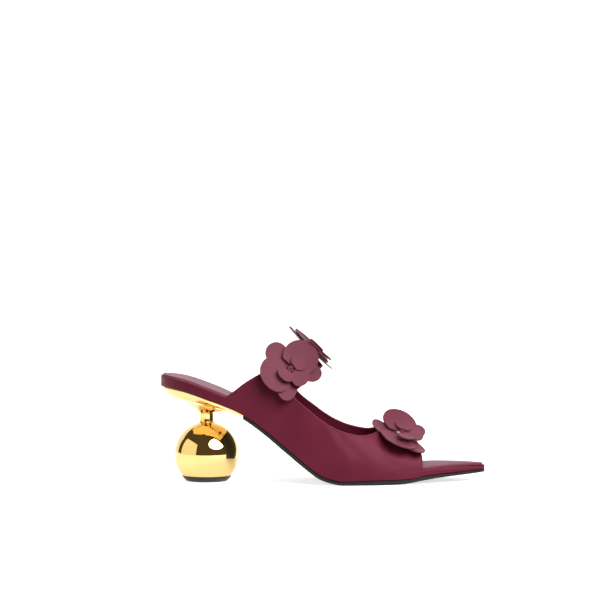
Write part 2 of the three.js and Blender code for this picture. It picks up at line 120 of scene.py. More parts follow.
# Plan of the footbed: half widths as shares of the seat's and the ball's width, and the
# sideways shift of its middle as a share of the ball's width
PLAN = [
    dict(along=0, seat=0, ball=0, shift=0),
    dict(along=0.024, seat=0.52, ball=0, shift=0),
    dict(along=0.057, seat=0.78, ball=0, shift=0),
    dict(along=0.107, seat=0.945, ball=0, shift=0),
    dict(along=0.149, seat=1, ball=0, shift=0),
    dict(along=0.25, seat=0.955, ball=0, shift=-0.016),
    dict(along=0.308, seat=0.83, ball=0.083, shift=-0.026),
    dict(along=0.379, seat=0.5, ball=0.355, shift=-0.035),
    dict(along=0.454, seat=0.2, ball=0.68, shift=-0.033),
    dict(along=0.525, seat=0, ball=0.948, shift=-0.016),
    dict(along=0.584, seat=0, ball=1, shift=0.004),
    dict(along=0.642, seat=0, ball=0.992, shift=0.02),
    dict(along=0.705, seat=0, ball=0.927, shift=0.033),
    dict(along=0.768, seat=0, ball=0.822, shift=0.043),
    dict(along=0.809, seat=0, ball=0.726, shift=0.047),
    dict(along=0.872, seat=0, ball=0.535, shift=0.052),
    dict(along=0.935, seat=0, ball=0.321, shift=0.052),
    dict(along=0.977, seat=0, ball=0.16, shift=0.052),
    dict(along=1, seat=0, ball=0, shift=0.052),
]

# Side of the sole: its underside as shares of the heel's rise and of the toe spring, its
# thickness as a share of the outsole's, and how much of the rand's height is left
SIDE = [
    dict(along=0, climb=1, spring=0, thick=0.82, rand=1),
    dict(along=0.064, climb=0.962, spring=0, thick=0.82, rand=1),
    dict(along=0.147, climb=0.867, spring=0, thick=0.82, rand=1),
    dict(along=0.213, climb=0.78, spring=0, thick=0.82, rand=1),
    dict(along=0.249, climb=0.716, spring=0, thick=0.85, rand=1),
    dict(along=0.305, climb=0.579, spring=0, thick=0.95, rand=1),
    dict(along=0.379, climb=0.363, spring=0, thick=1, rand=1),
    dict(along=0.453, climb=0.151, spring=0, thick=1, rand=1),
    dict(along=0.49, climb=0.063, spring=0, thick=1, rand=1),
    dict(along=0.527, climb=0.019, spring=0, thick=1, rand=1),
    dict(along=0.562, climb=0, spring=0, thick=1, rand=1),
    dict(along=0.66, climb=0, spring=0, thick=1.25, rand=1),
    dict(along=0.725, climb=0, spring=0, thick=1.25, rand=1),
    dict(along=0.768, climb=0, spring=0.14, thick=1.1, rand=1),
    dict(along=0.803, climb=0, spring=0.35, thick=0.93, rand=1),
    dict(along=0.858, climb=0, spring=0.6, thick=0.8, rand=0.93),
    dict(along=0.92, climb=0, spring=0.77, thick=0.72, rand=0.78),
    dict(along=0.955, climb=0, spring=0.86, thick=0.68, rand=0.64),
    dict(along=0.985, climb=0, spring=0.95, thick=0.65, rand=0.44),
    dict(along=1, climb=0, spring=1, thick=0.64, rand=0.3),
]

# Sections of the upper: its crest above the sole as a share of the instep's rise, and how
# square its arch is, where 2 is a half ellipse
SECTIONS = [
    dict(along=0.17, rise=1.25, square=1.7),
    dict(along=0.308, rise=1.18, square=1.62),
    dict(along=0.39, rise=1.08, square=1.62),
    dict(along=0.446, rise=1, square=1.68),
    dict(along=0.492, rise=0.935, square=1.75),
    dict(along=0.559, rise=0.775, square=1.9),
    dict(along=0.621, rise=0.6, square=2.05),
    dict(along=0.697, rise=0.425, square=2.15),
    dict(along=0.764, rise=0.328, square=2.2),
    dict(along=0.801, rise=0.295, square=2.2),
    dict(along=0.85, rise=0.26, square=2.2),
]

# Edges of the upper seen from the side, as shares of the length and of the instep's rise
REAR_EDGE = [
    (0.178, -0.1), (0.18, 0), (0.228, 0.158), (0.268, 0.303), (0.305, 0.435), (0.375, 0.7),
    (0.446, 1), (0.492, 1.18),
]
THROAT_EDGE = [
    (0.538, 1.067), (0.492, 0.905), (0.446, 0.7), (0.408, 0.53), (0.404, 0.486), (0.424, 0.472),
    (0.4555, 0.4715), (0.4752, 0.468), (0.4936, 0.461), (0.5135, 0.447), (0.5518, 0.417),
    (0.5978, 0.3815), (0.625, 0.369), (0.648, 0.376), (0.667, 0.39), (0.697, 0.425), (0.747, 0.54),
]
TOE_EDGE = [
    (0.801, -0.1), (0.802, 0.02), (0.803, 0.14), (0.799, 0.2), (0.785, 0.28), (0.764, 0.33),
    (0.73, 0.43),
]

# Depth of the cup under the seat, from the neck out to its rim, as shares of its depth at the
# neck: behind the neck and in front of it
CUP = [
    dict(along=0, back=1, front=1),
    dict(along=0.05, back=0.93, front=0.9),
    dict(along=0.14, back=0.83, front=0.77),
    dict(along=0.25, back=0.745, front=0.63),
    dict(along=0.4, back=0.655, front=0.47),
    dict(along=0.6, back=0.56, front=0.3),
    dict(along=0.78, back=0.45, front=0.25),
    dict(along=0.92, back=0.24, front=0.21),
    dict(along=1, back=0.08, front=0.2),
]

# Creases of the satin, each from one point of the shell to another by the share along and the
# angle around, with its half width and its height in millimetres; a trough has a negative height
CREASES = [
    ((0.50, 34), (0.585, 14), 3.2, 0.22),
    ((0.53, 33), (0.625, 18), 2.6, -0.2),
    ((0.575, 34), (0.70, 22), 4.5, 0.26),
    ((0.62, 30), (0.745, 14), 3.0, -0.2),
    ((0.665, 34), (0.775, 20), 3.4, 0.22),
    ((0.72, 8), (0.80, 12), 2.4, -0.16),
    ((0.66, 4), (0.73, 10), 2.2, 0.14),
    ((0.36, 8), (0.47, 20), 4.0, 0.2),
    ((0.30, 14), (0.42, 30), 3.6, -0.2),
    ((0.44, 3), (0.53, 9), 2.4, -0.16),
    ((0.50, 146), (0.585, 166), 3.4, 0.22),
    ((0.56, 148), (0.69, 160), 4.0, -0.22),
    ((0.63, 146), (0.76, 164), 3.4, 0.22),
    ((0.34, 168), (0.46, 156), 4.0, -0.2),
    ((0.76, 60), (0.795, 84), 2.6, 0.12),
    ((0.76, 122), (0.795, 98), 2.6, -0.12),
]

# Petals of one flower, as in the solids
PETALS = [
    dict(name="outer_back", angle=130, reach=1, half=0.36, root=0.3, widest=0.62, layer=0, lift=2),
    dict(name="outer_low", angle=262, reach=1.02, half=0.33, root=0.3, widest=0.42, layer=0, lift=1.4),
    dict(name="outer_front", angle=356, reach=1, half=0.28, root=0.5, widest=0.65, layer=0, lift=1.4),
    dict(name="outer_rear", angle=204, reach=0.98, half=0.58, root=0.63, widest=0.44, layer=1, lift=2),
    dict(name="outer_top", angle=51, reach=1.05, half=0.56, root=0.72, widest=0.41, layer=2, lift=2.2),
    dict(name="inner_front", angle=320, reach=0.66, half=0.32, root=0.5, widest=0.6, layer=3, lift=3),
    dict(name="inner_top", angle=38, reach=0.5, half=0.26, root=0.5, widest=0.55, layer=4, lift=3),
    dict(name="inner_rear", angle=234, reach=0.47, half=0.27, root=0.5, widest=0.5, layer=4, lift=3),
]

FLOWERS = [
    dict(name="side_flower", along=0.396, around=43.5, lean=(0.05, 0, 0.12), push=0, right=(1, 0, 0)),
    dict(name="strap_flower", along=0.459, around=102, lean=(-0.05, -0.31, 0.05), push=0,
         right=(0.57, 0.57, -0.59)),
    dict(name="toe_flower", along=0.737, around=67.5, lean=(-0.03, -0.13, 0), push=2,
         right=(0.6, 0.79, 0.11)),
]


# Shape of the last

def through(rows, name, place=lambda along: along):
    """Smooth curve through one column of a table, without overshoot."""
    x = [place(row["along"]) for row in rows]
    y = [row[name] for row in rows]
    last = len(x) - 1
    steps = [(y[i + 1] - y[i]) / (x[i + 1] - x[i]) for i in range(last)]
    slopes = [steps[0]]
    for before, after in zip(steps, steps[1:]):
        slopes.append(0 if before * after <= 0 else 2 * before * after / (before + after))
    slopes.append(steps[-1])

    def value(along):
        at = min(max(place(along), x[0]), x[last])
        i = 0
        while i < last - 1 and at > x[i + 1]:
            i += 1
        span = x[i + 1] - x[i]
        t = (at - x[i]) / span
        rising = t * t * (3 - 2 * t)
        leaving = t * (1 - t) ** 2 * span
        arriving = t * t * (t - 1) * span
        return y[i] * (1 - rising) + y[i + 1] * rising + slopes[i] * leaving + slopes[i + 1] * arriving

    return value


def round_ends(along):
    return math.acos(1 - 2 * along)


def smoothstep(value, low, high):
    t = min(max((value - low) / (high - low), 0), 1)
    return t * t * (3 - 2 * t)


seat_share = through(PLAN, "seat", round_ends)
ball_share = through(PLAN, "ball", round_ends)
shift_share = through(PLAN, "shift")
climb = through(SIDE, "climb")
spring = through(SIDE, "spring")
thick = through(SIDE, "thick")
rand_share = through(SIDE, "rand")
rise = through(SECTIONS, "rise")
square = through(SECTIONS, "square")
cup_back = through(CUP, "back")
cup_front = through(CUP, "front")


def x_at(along):
    return along * LENGTH - HEEL_BACK


def along_at(x):
    return (x + HEEL_BACK) / LENGTH


def half_width(along):
    return (seat_share(along) * SEAT_WIDTH + ball_share(along) * BALL_WIDTH) / 2


def middle(along):
    return shift_share(along) * BALL_WIDTH


BALL_FLAT = TIP_RADIUS + BALL_LEDGE
BALL_CENTRE = TIP_HEIGHT + GAP + math.sqrt(BALL_RADIUS ** 2 - BALL_FLAT ** 2)
NECK_FOOT = BALL_CENTRE + math.sqrt(BALL_RADIUS ** 2 - NECK_RADIUS ** 2)
NECK_TOP = NECK_FOOT + NECK_LENGTH
SEAT_AT_AXIS = NECK_TOP + CUP_DEPTH + FLANGE
HEEL_RISE = (SEAT_AT_AXIS - OUTSOLE * thick(along_at(0))) / climb(along_at(0))


def underside(along):
    return HEEL_RISE * climb(along) + TOE_SPRING * spring(along)


def seat_line(along):
    step = 0.004
    fore = min(1, along + step)
    aft = max(0, along - step)
    slope = (underside(fore) - underside(aft)) / ((fore - aft) * LENGTH)
    return underside(along) + OUTSOLE * thick(along) * math.hypot(1, slope)


def bed_line(along):
    return seat_line(along) + GAP


def bed_top(along):
    rand = HEEL_RAND + (TOE_RAND - HEEL_RAND) * smoothstep(along, 0.1, 0.42)
    return bed_line(along) + rand * rand_share(along)


def crown(along):
    return TOE_CROWN * smoothstep(along, 0.3, 0.7)


def last_point(along, around, inward=0.0):
    """Outer face of the upper: 0 is the outer feather edge, 180 the inner one."""
    half = half_width(along) + LINING_GAP + WALL
    turn = math.radians(min(max(around, 0), 180))
    power = 2 / square(along)
    beside = -math.copysign(abs(math.cos(turn)) ** power, math.cos(turn))
    above = math.sin(turn) ** power
    past = max(0, -around, around - 180)
    point = Vector((x_at(along), middle(along) + beside * half,
                    bed_line(along) + above * rise(along) * INSTEP_RISE - past))
    if inward:
        point -= last_normal(along, around) * inward
    return point


def last_normal(along, around):
    small = 0.002
    turn = 0.2
    inside = min(max(around, turn - SKIRT), 180 + SKIRT - turn)
    forward = last_point(along + small, inside) - last_point(along - small, inside)
    over = last_point(along, inside + turn) - last_point(along, inside - turn)
    return forward.cross(over).normalized()


def crease(along, around):
    """Height of the soft creases at a point of the shell."""
    here = Vector((along * LENGTH, around * CREASE_ARC))
    height = 0.0
    for start, stop, width, tall in CREASES:
        a = Vector((start[0] * LENGTH, start[1] * CREASE_ARC))
        b = Vector((stop[0] * LENGTH, stop[1] * CREASE_ARC))
        run = b - a
        share = (here - a).dot(run) / run.dot(run)
        near = min(max(share, 0), 1)
        away = (here - a - run * near).length
        grow = smoothstep(share, -CREASE_BEFORE, CREASE_WITHIN)
        shrink = smoothstep(share, 1 - CREASE_WITHIN, 1 + CREASE_BEFORE)
        height += tall * (grow * (1 - shrink)) * math.exp(-(away / width) ** 2)
    return height


# Mesh making

def spread(low, high, count):
    return [low + (high - low) * i / (count - 1) for i in range(count)]


def stations(low, high, count):
    """Shares from heel to toe, closer together towards both rounded ends."""
    first = max(0.02, round_ends(low))
    last = min(math.pi - 0.02, round_ends(high))
    return [(1 - math.cos(turn)) / 2 for turn in spread(first, last, count)]


def smooth(mesh):
    """Smooth shading, broken only at the sharper edges."""
    mesh.shade_smooth()
    mesh.set_sharp_from_angle(angle=math.radians(SHARP_ANGLE))


def make_mesh(name, points, faces):
    mesh = bpy.data.meshes.new(name)
    mesh.from_pydata([Vector(point) * MM for point in points], [], faces)
    work = bmesh.new()
    work.from_mesh(mesh)
    bmesh.ops.recalc_face_normals(work, faces=work.faces)
    work.to_mesh(mesh)
    work.free()
    smooth(mesh)
    return mesh


def add_piece(name, mesh, material, nodes):
    piece = bpy.data.objects.new(name, mesh)
    bpy.context.scene.collection.objects.link(piece)
    mesh.materials.clear()
    mesh.materials.append(material)
    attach(piece, "root")
    if nodes:
        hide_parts(*nodes)
    return piece


def loft(rings):
    """Points and faces of a skin over closed rings, with a fan over each end."""
    count = len(rings[0])
    points = [point for ring in rings for point in ring]
    faces = []
    for ring in range(len(rings) - 1):
        for i in range(count):
            a = ring * count + i
            b = ring * count + (i + 1) % count
            faces.append((a, b, b + count, a + count))
    for ring in (0, len(rings) - 1):
        hub = len(points)
        points.append(sum((Vector(point) for point in rings[ring]), Vector()) / count)
        for i in range(count):
            faces.append((hub, ring * count + i, ring * count + (i + 1) % count))
    return points, faces


def sheet(front, back):
    """Points and faces of a wall between two grids, closed round its four edges."""
    rows = len(front)
    columns = len(front[0])
    points = [point for row in front for point in row] + [point for row in back for point in row]
    deep = rows * columns
    faces = []
    for i in range(rows - 1):
        for j in range(columns - 1):
            a = i * columns + j
            quad = (a, a + columns, a + columns + 1, a + 1)
            faces.append(quad)
            faces.append(tuple(corner + deep for corner in reversed(quad)))
    border = [(i, 0) for i in range(rows)]
    border += [(rows - 1, j) for j in range(1, columns)]
    border += [(i, columns - 1) for i in range(rows - 2, -1, -1)]
    border += [(0, j) for j in range(columns - 2, 0, -1)]
    loop = [i * columns + j for i, j in border]
    for a, b in zip(loop, loop[1:] + loop[:1]):
        faces.append((a, b, b + deep, a + deep))
    return points, faces


def slab_ring(along, half, bottom, top, shoulder, crown_height, foot):
    """Section across the sole: flat below, with round shoulders and a crowned top."""
    most_shoulder = 0.6
    most_foot = 0.3
    y = middle(along)
    tall = top - bottom
    shoulder = min(shoulder, half * most_shoulder, tall * most_shoulder)
    foot = min(foot, half * most_foot, tall * most_foot)
    side = []
    for turn in spread(-90, 0, 4):
        reach = half - foot + foot * math.cos(math.radians(turn))
        side.append((reach, bottom + foot + foot * math.sin(math.radians(turn))))
    for turn in spread(0, 90, 7):
        reach = half - shoulder + shoulder * math.cos(math.radians(turn))
        side.append((reach, top - shoulder + shoulder * math.sin(math.radians(turn))))
    flat = half - shoulder
    across = [flat * share for share in spread(1, -1, 13)][1:-1]
    ring = side + [(beside, top + crown_height * (1 - (beside / flat) ** 2)) for beside in across]
    ring += [(-beside, z) for beside, z in reversed(side)]
    return [Vector((x_at(along), y + beside, z)) for beside, z in ring]


# Materials

def shader(name, colour, roughness, **settings):
    material = bpy.data.materials.new(name)
    material.use_nodes = True
    nodes = material.node_tree.nodes
    bsdf = nodes["Principled BSDF"]
    bsdf.inputs["Base Color"].default_value = (*colour, 1)
    bsdf.inputs["Roughness"].default_value = roughness
    for key, value in settings.items():
        bsdf.inputs[key.replace("_", " ")].default_value = value
    return material, nodes, material.node_tree.links, bsdf


def object_coordinates(nodes):
    return nodes.new("ShaderNodeTexCoord").outputs["Object"]


def noise(nodes, links, vector, scale, detail):
    texture = nodes.new("ShaderNodeTexNoise")
    texture.inputs["Scale"].default_value = scale
    texture.inputs["Detail"].default_value = detail
    links.new(vector, texture.inputs["Vector"])
    return texture.outputs["Fac"]


def bump(nodes, links, height, bsdf, strength, distance, below=None):
    node = nodes.new("ShaderNodeBump")
    node.inputs["Strength"].default_value = strength
    node.inputs["Distance"].default_value = distance
    links.new(height, node.inputs["Height"])
    if below:
        links.new(below, node.inputs["Normal"])
    links.new(node.outputs["Normal"], bsdf.inputs["Normal"])
    return node.outputs["Normal"]


def tint(nodes, links, factor, low, high, bsdf):
    """Base colour that drifts between two near tones."""
    ramp = nodes.new("ShaderNodeValToRGB")
    ends = ramp.color_ramp.elements
    for end, position, colour in zip(ends, (0.3, 0.7), (low, high)):
        end.position = position
        end.color = (*colour, 1)
    links.new(factor, ramp.inputs["Fac"])
    links.new(ramp.outputs["Color"], bsdf.inputs["Base Color"])


def satin_material():
    material, nodes, links, bsdf = shader(
        "satin", (0.17, 0.018, 0.045), 0.46, Sheen_Weight=0.06, Sheen_Roughness=0.35,
        Sheen_Tint=(1, 0.4, 0.6, 1), Specular_IOR_Level=0.36, Specular_Tint=(1, 0.38, 0.52, 1))
    place = object_coordinates(nodes)
    broad = noise(nodes, links, place, scale=18, detail=2)
    tint(nodes, links, broad, (0.145, 0.014, 0.037), (0.19, 0.023, 0.052), bsdf)
    weave = nodes.new("ShaderNodeTexWave")
    weave.bands_direction = "DIAGONAL"
    weave.inputs["Scale"].default_value = 420
    weave.inputs["Distortion"].default_value = 1.2
    weave.inputs["Detail"].default_value = 1
    links.new(place, weave.inputs["Vector"])
    fine = bump(nodes, links, weave.outputs["Fac"], bsdf, strength=0.18, distance=0.06 * MM)
    soft = noise(nodes, links, place, scale=45, detail=2)
    bump(nodes, links, soft, bsdf, strength=0.2, distance=0.6 * MM, below=fine)
    return material


def petal_material():
    material, nodes, links, bsdf = shader(
        "petal_leather", (0.22, 0.045, 0.085), 0.5, Sheen_Weight=0.08, Sheen_Roughness=0.5,
        Sheen_Tint=(1, 0.6, 0.7, 1), Specular_IOR_Level=0.45, Specular_Tint=(1, 0.6, 0.75, 1))
    place = object_coordinates(nodes)
    cloud = noise(nodes, links, place, scale=60, detail=3)
    tint(nodes, links, cloud, (0.17, 0.028, 0.052), (0.21, 0.04, 0.068), bsdf)
    grain = nodes.new("ShaderNodeTexVoronoi")
    grain.inputs["Scale"].default_value = 1500
    links.new(place, grain.inputs["Vector"])
    fine = bump(nodes, links, grain.outputs["Distance"], bsdf, strength=0.12, distance=0.15 * MM)
    soft = noise(nodes, links, place, scale=90, detail=2)
    bump(nodes, links, soft, bsdf, strength=0.15, distance=0.5 * MM, below=fine)
    return material


def sock_material():
    material, nodes, links, bsdf = shader(
        "sock_lining", (0.2, 0.05, 0.085), 0.5, Sheen_Weight=0.1, Sheen_Roughness=0.3,
        Sheen_Tint=(1, 0.7, 0.8, 1), Specular_IOR_Level=0.26, Specular_Tint=(1, 0.6, 0.75, 1))
    place = object_coordinates(nodes)
    ribs = nodes.new("ShaderNodeTexWave")
    ribs.bands_direction = "X"
    ribs.inputs["Scale"].default_value = 140
    ribs.inputs["Distortion"].default_value = 0.4
    links.new(place, ribs.inputs["Vector"])
    cloud = noise(nodes, links, place, scale=40, detail=3)
    tint(nodes, links, cloud, (0.17, 0.04, 0.07), (0.24, 0.065, 0.1), bsdf)
    bump(nodes, links, ribs.outputs["Fac"], bsdf, strength=0.25, distance=0.2 * MM)
    return material


def outsole_material():
    material, nodes, links, bsdf = shader(
        "sole_black", (0.012, 0.012, 0.013), 0.4, Coat_Weight=0.12, Coat_Roughness=0.15,
        Specular_IOR_Level=0.25)
    place = object_coordinates(nodes)
    cloud = noise(nodes, links, place, scale=70, detail=4)
    tint(nodes, links, cloud, (0.009, 0.009, 0.01), (0.018, 0.017, 0.018), bsdf)
    grain = noise(nodes, links, place, scale=500, detail=4)
    bump(nodes, links, grain, bsdf, strength=0.08, distance=0.2 * MM)
    return material


def gold_material():
    material, nodes, links, bsdf = shader("gold", (0.86, 0.61, 0.25), 0.045, Metallic=1.0)
    place = object_coordinates(nodes)
    cloud = noise(nodes, links, place, scale=30, detail=2)
    tint(nodes, links, cloud, (0.79, 0.56, 0.225), (0.82, 0.585, 0.24), bsdf)
    swell = noise(nodes, links, place, scale=35, detail=1)
    bump(nodes, links, swell, bsdf, strength=0.02, distance=0.2 * MM)
    return material


def rubber_material():
    material, nodes, links, bsdf = shader("tip_rubber", (0.022, 0.018, 0.018), 0.55)
    place = object_coordinates(nodes)
    cloud = noise(nodes, links, place, scale=90, detail=4)
    tint(nodes, links, cloud, (0.017, 0.014, 0.014), (0.03, 0.024, 0.024), bsdf)
    grain = noise(nodes, links, place, scale=900, detail=4)
    bump(nodes, links, grain, bsdf, strength=0.2, distance=0.2 * MM)
    return material


satin = satin_material()
petal_leather = petal_material()
sock_lining = sock_material()
sole_black = outsole_material()
gold = gold_material()
rubber = rubber_material()


# Sole, footbed and sock lining

def build_outsole():
    rings = []
    for along in stations(along_at(BREAST + GAP), 1, 150):
        half = half_width(along) + OUTSOLE_LIP
        top = seat_line(along)
        rings.append(slab_ring(along, half, underside(along), top, SOLE_SHOULDER, 0, SOLE_FOOT))
    mesh = make_mesh("outsole_polished", *loft(rings))
    add_piece("outsole_polished", mesh, sole_black, ["outsole"])


def build_footbed():
    rings = []
    for along in stations(0, 1, 190):
        half = half_width(along)
        top = bed_top(along)
        foot = HEEL_FOOT + (TOE_FOOT - HEEL_FOOT) * smoothstep(along, 0.2, 0.35)
        rings.append(slab_ring(along, half, bed_line(along), top, BED_SHOULDER, crown(along), foot))
    mesh = make_mesh("footbed_wrapped", *loft(rings))
    add_piece("footbed_wrapped", mesh, satin, ["footbed"])


def build_sock():
    first = SOCK_INSET / LENGTH
    sock_shares = [-1, -0.985, -0.96, -0.93, *spread(-0.85, 0.85, 13), 0.93, 0.96, 0.985, 1]
    rings = []
    for along in stations(first, 1 - first, 170):
        half = max(0.5, half_width(along) - SOCK_INSET)
        reach = half / half_width(along)
        y = middle(along)
        low = []
        for share in sock_shares:
            z = bed_top(along) + crown(along) * (1 - (share * reach) ** 2) + GAP * SOCK_LIFT
            low.append(Vector((x_at(along), y + share * half, z)))
        high = []
        for share in reversed(sock_shares):
            drop = SOCK_DROP * smoothstep(abs(share), 0.93, 1.0) ** 2
            z = bed_top(along) + crown(along) * (1 - (share * reach) ** 2) + GAP + SOCK - drop
            high.append(Vector((x_at(along), y + share * half * 0.995, z)))
        rings.append(low + high)
    mesh = make_mesh("sock_lining", *loft(rings))
    add_piece("sock_lining", mesh, sock_lining, ["insole_sock"])


# Upper

def edge_line(rows, count):
    """Smooth line through the rows of an edge, in the side view."""
    pads = [rows[0], *rows, rows[-1]]
    line = []
    for step in range(count + 1):
        at = step / count * (len(rows) - 1)
        i = min(int(at), len(rows) - 2)
        t = at - i
        four = [Vector(point) for point in pads[i:i + 4]]
        smooth = (2 * four[1] + (four[2] - four[0]) * t
                  + (2 * four[0] - 5 * four[1] + 4 * four[2] - four[3]) * t ** 2
                  + (3 * four[1] - four[0] - 3 * four[2] + four[3]) * t ** 3) / 2
        line.append(smooth)
    return line


def side_view(line):
    return [(x_at(along), bed_line(along) + up * INSTEP_RISE) for along, up in line]


def cutter(name, outline, skew=0.0):
    """Prism right through the shoe with this outline, running forwards by the skew."""
    deep = 1.5 * BALL_WIDTH
    count = len(outline)
    points = []
    for y in (-deep, deep):
        forward = skew * (y + SEAT_WIDTH / 2)
        points += [Vector((x + forward, y, z)) for x, z in outline]
    faces = [tuple(range(count)), tuple(range(2 * count - 1, count - 1, -1))]
    faces += [(i, (i + 1) % count, (i + 1) % count + count, i + count) for i in range(count)]
    piece = bpy.data.objects.new(name, make_mesh(name, points, faces))
    bpy.context.scene.collection.objects.link(piece)
    return piece


def cut_away(whole, cutters):
    """Mesh that is left of a whole one after all cutters."""
    piece = bpy.data.objects.new(whole.name, whole)
    bpy.context.scene.collection.objects.link(piece)
    for tool in cutters:
        cut = piece.modifiers.new(tool.name, "BOOLEAN")
        cut.operation = "DIFFERENCE"
        cut.solver = "EXACT"
        cut.object = tool
    shaped = piece.evaluated_get(bpy.context.evaluated_depsgraph_get())
    mesh = bpy.data.meshes.new_from_object(shaped)
    for used in (piece, *cutters):
        bpy.data.objects.remove(used)
    smooth(mesh)
    return mesh


def on_shell(x, z, skew, side, inward):
    """Point where a line of the cut meets one side of the shell."""
    y = side * SEAT_WIDTH / 2
    for _ in range(4):
        along = along_at(x + skew * (y + SEAT_WIDTH / 2))
        low, high = (-SKIRT, 90) if side < 0 else (180 + SKIRT, 90)
        for _ in range(16):
            around = (low + high) / 2
            if last_point(along, around, inward).z < z:
                low = around
            else:
                high = around
        point = last_point(along, around, inward)
        y = point.y
    return point


def crest_gap(line, skew, at):
    """Height of the cut's line above the top of the shell, and its place in the side view."""
    i = min(int(at), len(line) - 2)
    x, z = Vector(line[i]).lerp(Vector(line[i + 1]), at - i)
    along = along_at(x + skew * SEAT_WIDTH / 2)
    return z - last_point(along, 90, WALL / 2).z, x, z


def crest_crossing(line, skew, under, over):
    """Where the cut's line runs out over the top of the shell."""
    for _ in range(24):
        at = (under + over) / 2
        if crest_gap(line, skew, at)[0] < 0:
            under = at
        else:
            over = at
    return under


def fold_path(line, skew, first, last, side, count, open_end):
    """Middle of the wall along a cut, closer spaced towards the top of the shell."""
    path = []
    for share in spread(0, 1, count):
        eased = 1 - (1 - share) ** 2 if open_end else (1 - math.cos(share * math.pi)) / 2
        _, x, z = crest_gap(line, skew, first + (last - first) * eased)
        path.append((on_shell(x, z, skew, side, 0) + on_shell(x, z, skew, side, WALL)) / 2)
    return path


def tube(path, radius, closed):
    """Points and faces of a round bead along a path."""
    count = len(path)
    turns = [2 * math.pi * step / FOLD_SIDES for step in range(FOLD_SIDES)]
    rings = []
    normal = Vector((0, 0, 1))
    for i in range(count):
        before = path[(i - 1) % count] if closed else path[max(i - 1, 0)]
        after = path[(i + 1) % count] if closed else path[min(i + 1, count - 1)]
        ahead = (after - before).normalized()
        normal = (normal - ahead * normal.dot(ahead)).normalized()
        across = ahead.cross(normal)
        spokes = [normal * math.cos(turn) + across * math.sin(turn) for turn in turns]
        rings.append([path[i] + spoke * radius for spoke in spokes])
    if not closed:
        return loft(rings)
    points = [point for ring in rings for point in ring]
    faces = []
    for i in range(count):
        far = ((i + 1) % count - i) * FOLD_SIDES
        for j in range(FOLD_SIDES):
            a = i * FOLD_SIDES + j
            b = i * FOLD_SIDES + (j + 1) % FOLD_SIDES
            faces.append((a, b, b + far, a + far))
    return points, faces


def thinned(path):
    kept = [path[0]]
    for point in path[1:]:
        if (point - kept[-1]).length > FOLD_STEP:
            kept.append(point)
    return kept


def build_folds(rear, throat, toe):
    """Turned edges of the satin round the strap's back, the throat and the toe."""
    radius = WALL / 2 + FOLD_SWELL

    def add_fold(name, near, far, closed):
        mesh = make_mesh(name, *tube(thinned(near + far[::-1]), radius, closed))
        add_piece(name, mesh, satin, [])

    for name, line, skew, count in (("fold_rear", rear, STRAP_SKEW, 60), ("fold_toe", toe, 0, 50)):
        top = crest_crossing(line, skew, len(line) * 0.35, len(line) - 1)
        foot = 0
        while line[foot][1] < bed_line(along_at(line[foot][0])) + 0.6:
            foot += 1
        near = fold_path(line, skew, foot, top, -1, count, True)
        far = fold_path(line, skew, foot, top, 1, count, True)
        add_fold(name, near, far, False)
    middle_row = min(range(len(throat)), key=lambda i: throat[i][1])
    back = crest_crossing(throat, THROAT_SKEW, middle_row, 0)
    front = crest_crossing(throat, THROAT_SKEW, middle_row, len(throat) - 1)
    near = fold_path(throat, THROAT_SKEW, back, front, -1, 120, False)
    far = fold_path(throat, THROAT_SKEW, back, front, 1, 120, False)
    add_fold("fold_throat", near, far, True)


def build_upper():
    start = REAR_EDGE[0][0] - 0.03
    end = TOE_EDGE[2][0] + 0.03
    around = [-SKIRT, *spread(0, 180, 121), 180 + SKIRT]
    rows = spread(start, end, 150)
    outer = []
    inner = []
    for along in rows:
        lifts = [crease(along, angle) for angle in around]
        outer.append([last_point(along, angle, -lift) for angle, lift in zip(around, lifts)])
        inner.append([last_point(along, angle, WALL - lift) for angle, lift in zip(around, lifts)])
    high = 3 * INSTEP_RISE
    low = -INSTEP_RISE
    front = LENGTH
    rear = side_view(edge_line(REAR_EDGE, 80))
    throat = side_view(edge_line(THROAT_EDGE, 150))
    toe = side_view(edge_line(TOE_EDGE, 60))
    under = [(x_at(along), bed_line(along)) for along in spread(0, 1, 160)]
    behind = [(rear[-1][0], high), (-front, high), (-front, low), (rear[0][0], low)]
    above = [(throat[-1][0], high), (throat[0][0], high)]
    ahead = [(toe[-1][0], high), (2 * front, high), (2 * front, low), (toe[0][0], low)]
    below = [(front, low), (-HEEL_BACK, low)]
    cutters = [
        cutter("cut_rear", rear + behind, STRAP_SKEW),
        cutter("cut_throat", throat + above, THROAT_SKEW),
        cutter("cut_toe", toe + ahead),
        cutter("cut_under", under + below),
    ]
    mesh = cut_away(make_mesh("upper_whole", *sheet(outer, inner)), cutters)
    add_piece("upper_satin", mesh, satin, ["upper"])
    build_folds(rear, throat, toe)


# Heel

def flange_edge(count):
    front = along_at(BREAST)
    back = list(reversed(stations(FLANGE_INSET / LENGTH, front, count)))

    def point(along, side):
        half = max(0.3, half_width(along) - FLANGE_INSET)
        return Vector((x_at(along), middle(along) + side * half))

    outer = [point(along, -1) for along in back]
    inner = [point(along, 1) for along in reversed(back)]
    across = [point(front, share) for share in spread(1, -1, 33)[1:-1]]
    return outer + inner + across


